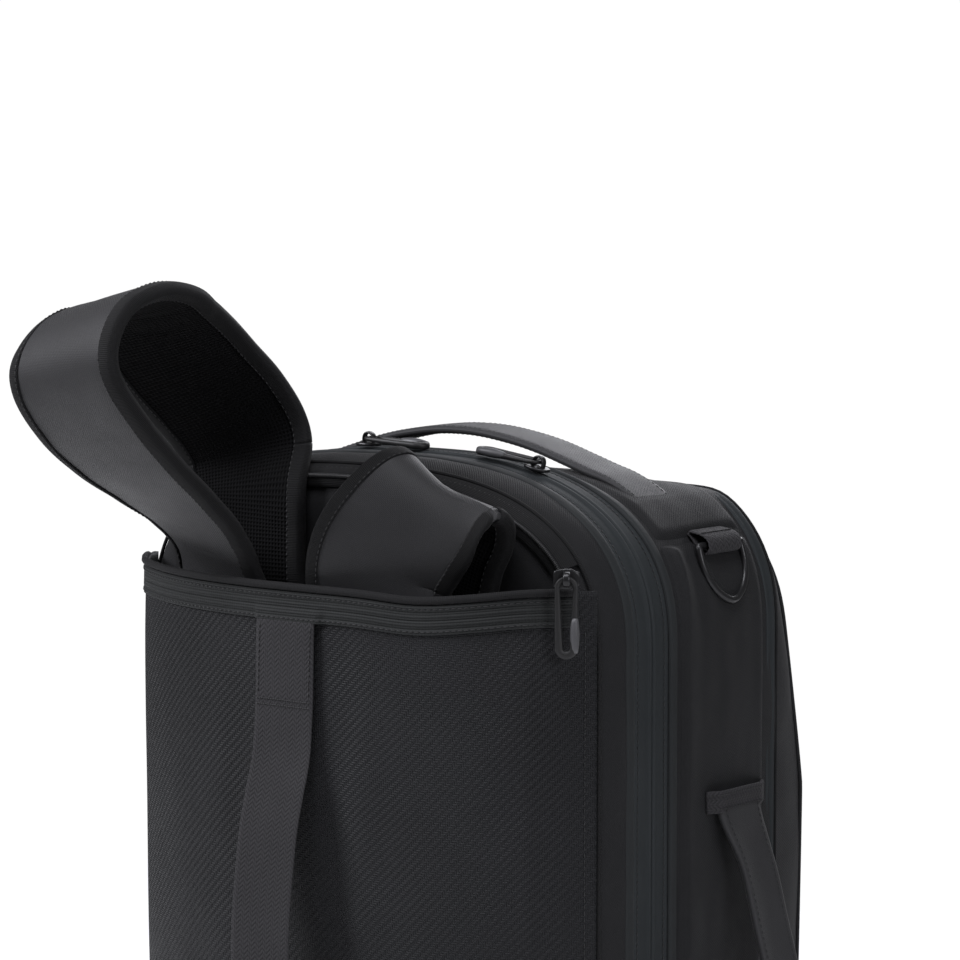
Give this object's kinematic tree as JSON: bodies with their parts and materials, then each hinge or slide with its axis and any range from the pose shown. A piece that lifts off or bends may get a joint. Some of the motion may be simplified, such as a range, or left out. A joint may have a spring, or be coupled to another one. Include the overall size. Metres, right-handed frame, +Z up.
{
  "type": "travel backpack",
  "caption": "Soft-shell convertible travel backpack with a hinged laptop compartment, fold-down front lid, stowable shoulder straps, grab handles, D-rings and a luggage pass-through strap.",
  "frame": {"origin": "middle of the flat base the bag stands on, between its two sides", "axes": "+Z up; +Y towards the harness side that meets the wearer's back; -X the side with the carry handle and D-rings"},
  "size_m": [0.3695, 0.389, 0.6181],
  "materials": {
    "shell_fabric": "tight charcoal-black woven nylon with a soft sheen",
    "panel_fabric": "coarser ballistic weave, matte",
    "strap_fabric": "smooth padded nylon, slight sheen",
    "webbing": "ribbed woven webbing",
    "coated_zip_tape": "coated zip tape, slight gloss, bluish grey-black",
    "trim_webbing": "grosgrain trim",
    "lining_fabric": "thin grey lining",
    "foam": "closed-cell back padding",
    "stiffener": "thin base stiffener",
    "mesh_fabric": "knitted mesh",
    "black_metal": "black gunmetal plating",
    "moulded_plastic": "moulded acetal"
  },
  "bodies": {
    "main_body": {"main_shell": "shell_fabric", "divider_panel": "lining_fabric", "base_board": "stiffener", "laptop_sleeve": "lining_fabric", "rear_zip_tape_main": "coated_zip_tape", "rear_hinge_strip": "trim_webbing", "front_zip_tape_main": "coated_zip_tape", "lid_hinge_strip": "trim_webbing", "top_handle_root_left": "strap_fabric", "top_handle_root_right": "strap_fabric", "side_handle_root_upper": "strap_fabric", "side_handle_root_lower": "strap_fabric", "d_ring_tab_upper": "webbing", "d_ring_tab_lower": "webbing"},
    "rear_door": {"rear_shell": "shell_fabric", "back_foam": "foam", "rear_zip_tape_door": "coated_zip_tape", "stash_zip_tape_upper": "trim_webbing", "strap_root_left": "strap_fabric", "strap_root_right": "strap_fabric", "lower_loop_left": "webbing", "lower_loop_right": "webbing"},
    "stash_pocket": {"stash_panel": "panel_fabric", "stash_mouth_tape": "webbing", "trolley_strap": "webbing"},
    "stash_slider_body": {"stash_slider": "black_metal"},
    "stash_pull_body": {"stash_pull": "black_metal"},
    "strap_left": {"shoulder_strap_left": "strap_fabric", "ladder_lock_left": "moulded_plastic"},
    "webbing_left": {"strap_webbing_left": "webbing"},
    "hook_left": {"strap_hook_left": "black_metal"},
    "strap_right": {"shoulder_strap_right": "strap_fabric", "ladder_lock_right": "moulded_plastic"},
    "webbing_right": {"strap_webbing_right": "webbing"},
    "hook_right": {"strap_hook_right": "black_metal"},
    "front_lid": {"lid_panel": "shell_fabric", "front_zip_tape_lid": "coated_zip_tape", "front_pocket_zip_tape": "coated_zip_tape", "front_pocket_bag": "lining_fabric", "lid_mesh_pocket": "mesh_fabric"},
    "pocket_slider_body": {"pocket_slider": "black_metal"},
    "pocket_pull_body": {"pocket_pull": "black_metal"},
    "front_slider_a_body": {"front_slider_a": "black_metal"},
    "front_pull_a_body": {"front_pull_a": "black_metal"},
    "front_slider_b_body": {"front_slider_b": "black_metal"},
    "front_pull_b_body": {"front_pull_b": "black_metal"},
    "rear_slider_a_body": {"rear_slider_a": "black_metal"},
    "rear_pull_a_body": {"rear_pull_a": "black_metal"},
    "rear_slider_b_body": {"rear_slider_b": "black_metal"},
    "rear_pull_b_body": {"rear_pull_b": "black_metal"},
    "top_handle": {"top_handle_grip": "strap_fabric"},
    "side_handle": {"side_handle_grip": "strap_fabric"},
    "d_ring_upper_body": {"d_ring_upper": "black_metal"},
    "d_ring_lower_body": {"d_ring_lower": "black_metal"}
  },
  "joints": [
    {"name": "rear_door_hinge", "type": "hinge", "parent": "main_body", "child": "rear_door", "pos_m": [0.1606, 0.05, 0.21], "axis": [0, 0, -1], "range_deg": [0, 100]},
    {"name": "stash_panel_hinge", "type": "hinge", "parent": "rear_door", "child": "stash_pocket", "pos_m": [0, 0.101, 0.022], "axis": [-1, 0, 0], "range_deg": [0, 18]},
    {"name": "front_lid_hinge", "type": "hinge", "parent": "main_body", "child": "front_lid", "pos_m": [0, -0.1074, 0.044], "axis": [1, 0, 0], "range_deg": [0, 82]},
    {"name": "strap_left_pull_out", "type": "slide", "parent": "rear_door", "child": "strap_left", "axis": [0, 0, 1], "range_m": [0, 0.03]},
    {"name": "webbing_left_slide", "type": "slide", "parent": "strap_left", "child": "webbing_left", "axis": [0, 0, 1], "range_m": [0, 0.03]},
    {"name": "hook_left_hinge", "type": "hinge", "parent": "webbing_left", "child": "hook_left", "pos_m": [-0.046, 0.1102, 0.223], "axis": [1, 0, 0], "range_deg": [-8, 28]},
    {"name": "strap_right_pull_out", "type": "slide", "parent": "rear_door", "child": "strap_right", "axis": [0, 0, 1], "range_m": [0, 0.03]},
    {"name": "webbing_right_slide", "type": "slide", "parent": "strap_right", "child": "webbing_right", "axis": [0, 0, 1], "range_m": [0, 0.03]},
    {"name": "hook_right_hinge", "type": "hinge", "parent": "webbing_right", "child": "hook_right", "pos_m": [0.07, 0.1102, 0.223], "axis": [1, 0, 0], "range_deg": [-8, 28]},
    {"name": "stash_slider_travel", "type": "slide", "parent": "stash_pocket", "child": "stash_slider_body", "axis": [0.8, 0.6, 0], "range_m": [0, 0.028]},
    {"name": "stash_pull_hinge", "type": "hinge", "parent": "stash_slider_body", "child": "stash_pull_body", "pos_m": [-0.15262, 0.11536, 0.4665], "axis": [0.8, 0.6, 0], "range_deg": [0, 110]},
    {"name": "front_slider_a_travel", "type": "slide", "parent": "front_lid", "child": "front_slider_a_body", "axis": [0, 0, 1], "range_m": [-0.12, 0.02]},
    {"name": "front_pull_a_hinge", "type": "hinge", "parent": "front_slider_a_body", "child": "front_pull_a_body", "pos_m": [-0.115, -0.12353, 0.3], "axis": [-1, 0, 0], "range_deg": [0, 110]},
    {"name": "front_slider_b_travel", "type": "slide", "parent": "front_lid", "child": "front_slider_b_body", "axis": [0, 0, 1], "range_m": [-0.12, 0.02]},
    {"name": "front_pull_b_hinge", "type": "hinge", "parent": "front_slider_b_body", "child": "front_pull_b_body", "pos_m": [0.115, -0.12353, 0.3], "axis": [-1, 0, 0], "range_deg": [0, 110]},
    {"name": "pocket_slider_travel", "type": "slide", "parent": "front_lid", "child": "pocket_slider_body", "axis": [1, 0, 0], "range_m": [-0.12, 0.01]},
    {"name": "pocket_pull_hinge", "type": "hinge", "parent": "pocket_slider_body", "child": "pocket_pull_body", "pos_m": [0.06, -0.12819, 0.352], "axis": [-1, 0, 0], "range_deg": [0, 110]},
    {"name": "rear_slider_a_travel", "type": "slide", "parent": "main_body", "child": "rear_slider_a_body", "axis": [0.9746, 0, 0.2241], "range_m": [-0.007, 0.015]},
    {"name": "rear_pull_a_hinge", "type": "hinge", "parent": "rear_slider_a_body", "child": "rear_pull_a_body", "pos_m": [-0.08517, 0.05, 0.51847], "axis": [0, -1, 0], "range_deg": [0, 160]},
    {"name": "rear_slider_b_travel", "type": "slide", "parent": "main_body", "child": "rear_slider_b_body", "axis": [1, 0, 0], "range_m": [-0.015, 0.025]},
    {"name": "rear_pull_b_hinge", "type": "hinge", "parent": "rear_slider_b_body", "child": "rear_pull_b_body", "pos_m": [0.032, 0.05, 0.5252], "axis": [0, 1, 0], "range_deg": [0, 160]},
    {"name": "top_handle_sway", "type": "hinge", "parent": "main_body", "child": "top_handle", "pos_m": [0, -0.002, 0.514], "axis": [1, 0, 0], "range_deg": [-8, 8]},
    {"name": "side_handle_sway", "type": "hinge", "parent": "main_body", "child": "side_handle", "pos_m": [-0.164, -0.023, 0.2435], "axis": [0, 0, 1], "range_deg": [-18, 18]},
    {"name": "d_ring_upper_hinge", "type": "hinge", "parent": "main_body", "child": "d_ring_upper_body", "pos_m": [-0.154, -0.02, 0.4733], "axis": [0, 1, 0], "range_deg": [0, 100]},
    {"name": "d_ring_lower_hinge", "type": "hinge", "parent": "main_body", "child": "d_ring_lower_body", "pos_m": [-0.1656, -0.02, 0.09], "axis": [0, 1, 0], "range_deg": [0, 100]}
  ]
}
